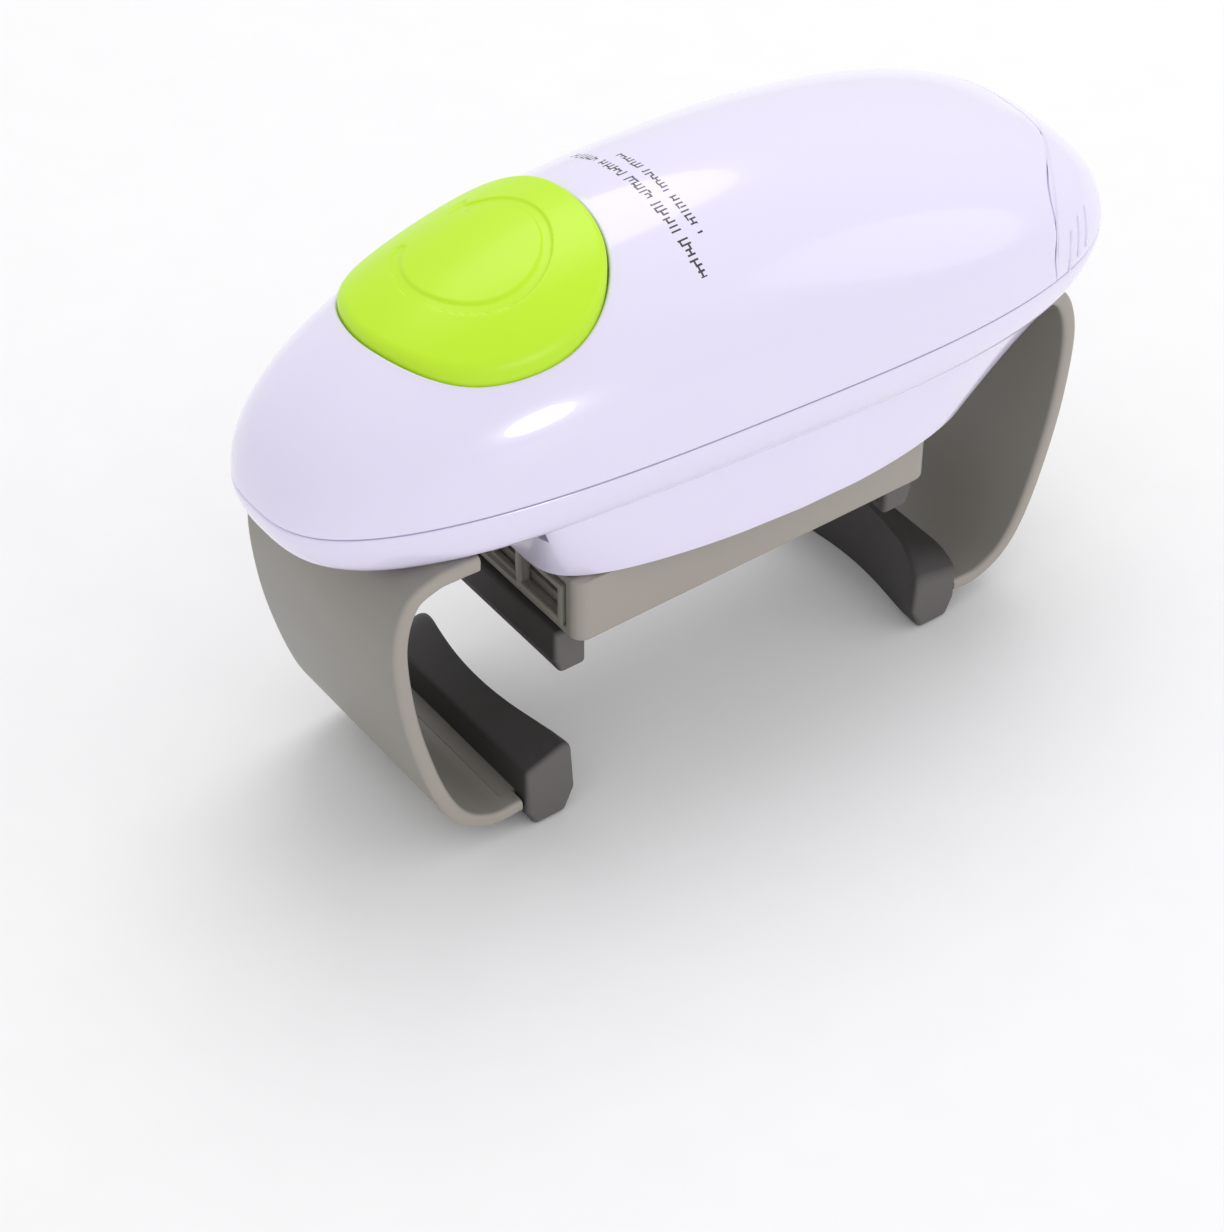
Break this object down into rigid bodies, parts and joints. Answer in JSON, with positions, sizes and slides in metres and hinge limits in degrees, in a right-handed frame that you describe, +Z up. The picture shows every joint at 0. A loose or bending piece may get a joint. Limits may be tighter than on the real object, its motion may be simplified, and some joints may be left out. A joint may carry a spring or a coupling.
{
  "type": "electric jar opener",
  "caption": "Battery jar opener: egg-shaped housing with a lime start button, two sliding arms that hold the jar and a turning carriage whose jaws hold the lid.",
  "frame": {"origin": "on the surface that the arm pads stand on, under the middle of the housing's length and width", "axes": "+X along the housing towards the battery door, +Y across it, +Z up through the dome"},
  "size_m": [0.2096, 0.0808, 0.1364],
  "materials": {
    "white_shell": "gloss, cool white with a lavender tint",
    "lime_button": "satin lime green",
    "grey_plastic": "satin warm grey",
    "charcoal_rubber": "matt",
    "nylon": "natural nylon",
    "steel": "bright",
    "brass": "bright",
    "black_plastic": "satin black",
    "circuit_board": "solder mask",
    "cell_jacket": "gloss jacket, unmarked",
    "red_insulation": "soft insulation"
  },
  "bodies": {
    "housing": {"upper_housing": "white_shell", "lower_housing": "white_shell", "bearing_plate": "grey_plastic", "battery_tray": "black_plastic", "battery_1": "cell_jacket", "battery_2": "cell_jacket", "battery_spring": "steel", "contact_plate": "steel", "gear_plate": "steel", "gear_axle_1": "steel", "gear_axle_2": "steel", "gear_axle_3": "steel", "motor_can": "steel", "motor_end_cap": "black_plastic", "motor_screw_1": "steel", "motor_screw_2": "steel", "switch_board": "circuit_board", "switch_body": "black_plastic", "button_spring": "steel", "housing_screw_1": "steel", "housing_screw_2": "steel", "housing_screw_3": "steel", "housing_screw_4": "steel", "wire_red": "red_insulation", "wire_black": "black_plastic", "wire_switch": "red_insulation"},
    "battery_door": {"battery_door": "white_shell", "door_contact": "steel"},
    "button": {"button": "lime_button"},
    "left_arm": {"arm_left": "grey_plastic", "arm_rack_left": "nylon", "arm_pad_left": "charcoal_rubber", "arm_screw_left": "steel"},
    "right_arm": {"arm_right": "grey_plastic", "arm_rack_right": "nylon", "arm_pad_right": "charcoal_rubber", "arm_screw_right": "steel"},
    "arm_pinion": {"arm_pinion": "nylon", "clutch_disc": "steel", "clutch_spring": "steel"},
    "carriage": {"carriage_body": "grey_plastic", "carriage_cover": "grey_plastic", "retaining_ring": "steel", "carriage_screw_1": "steel", "carriage_screw_2": "steel", "carriage_screw_3": "steel", "carriage_screw_4": "steel"},
    "left_jaw": {"jaw_slide_left": "grey_plastic", "jaw_pad_left": "charcoal_rubber"},
    "right_jaw": {"jaw_slide_right": "grey_plastic", "jaw_pad_right": "charcoal_rubber"},
    "jaw_drive": {"drive_shaft": "steel", "jaw_pinion": "brass", "output_gear": "nylon"},
    "gear_1": {"gear_1": "nylon"},
    "gear_2": {"gear_2": "nylon"},
    "gear_3": {"gear_3": "nylon"},
    "motor_rotor": {"motor_rotor": "steel", "motor_pinion": "brass"}
  },
  "joints": [
    {"name": "battery_door_slide", "type": "slide", "parent": "housing", "child": "battery_door", "axis": [1, 0, 0], "range_m": [0, 0.04]},
    {"name": "button_press", "type": "slide", "parent": "housing", "child": "button", "axis": [0, 0, -1], "range_m": [0, 0.002], "stiffness_N_per_m": 500, "deforming": ["button_spring"]},
    {"name": "left_arm_slide", "type": "slide", "parent": "housing", "child": "left_arm", "axis": [1, 0, 0], "range_m": [-0.004, 0.0225]},
    {"name": "right_arm_slide", "type": "slide", "parent": "housing", "child": "right_arm", "axis": [-1, 0, 0], "range_m": [-0.004, 0.0225]},
    {"name": "arm_pinion_turn", "type": "hinge", "parent": "housing", "child": "arm_pinion", "pos_m": [0, 0, 0.0762], "axis": [0, 0, 1], "range_deg": [-129.1, 23]},
    {"name": "carriage_turn", "type": "hinge", "parent": "housing", "child": "carriage", "pos_m": [0, 0, 0.055], "axis": [0, 0, 1], "continuous": true},
    {"name": "left_jaw_slide", "type": "slide", "parent": "carriage", "child": "left_jaw", "axis": [1, 0, 0], "range_m": [0, 0.024]},
    {"name": "right_jaw_slide", "type": "slide", "parent": "carriage", "child": "right_jaw", "axis": [-1, 0, 0], "range_m": [0, 0.024]},
    {"name": "jaw_drive_turn", "type": "hinge", "parent": "carriage", "child": "jaw_drive", "pos_m": [0, 0, 0.0546], "axis": [0, 0, 1], "range_deg": [-229.3, 0.5]},
    {"name": "gear_3_turn", "type": "hinge", "parent": "housing", "child": "gear_3", "pos_m": [-0.01723, 0.00995, 0.092], "axis": [0, 0, 1], "continuous": true},
    {"name": "gear_2_turn", "type": "hinge", "parent": "housing", "child": "gear_2", "pos_m": [-0.01723, -0.01005, 0.095], "axis": [0, 0, 1], "continuous": true},
    {"name": "gear_1_turn", "type": "hinge", "parent": "housing", "child": "gear_1", "pos_m": [0.00089, -0.0185, 0.098], "axis": [0, 0, 1], "continuous": true},
    {"name": "motor_turn", "type": "hinge", "parent": "housing", "child": "motor_rotor", "pos_m": [0.01256, -0.00683, 0.1], "axis": [0, 0, 1], "continuous": true}
  ],
  "couplings": [
    {"joint": "right_arm_slide", "follows": "left_arm_slide", "ratio": 1},
    {"joint": "arm_pinion_turn", "follows": "left_arm_slide", "rad_per_m": -100},
    {"joint": "right_jaw_slide", "follows": "left_jaw_slide", "ratio": 1},
    {"joint": "jaw_drive_turn", "follows": "left_jaw_slide", "rad_per_m": -166.67},
    {"joint": "gear_3_turn", "follows": "carriage_turn", "ratio": -2.6},
    {"joint": "gear_2_turn", "follows": "carriage_turn", "ratio": 7.8},
    {"joint": "gear_1_turn", "follows": "carriage_turn", "ratio": -23.4},
    {"joint": "motor_turn", "follows": "carriage_turn", "ratio": 62.4}
  ]
}
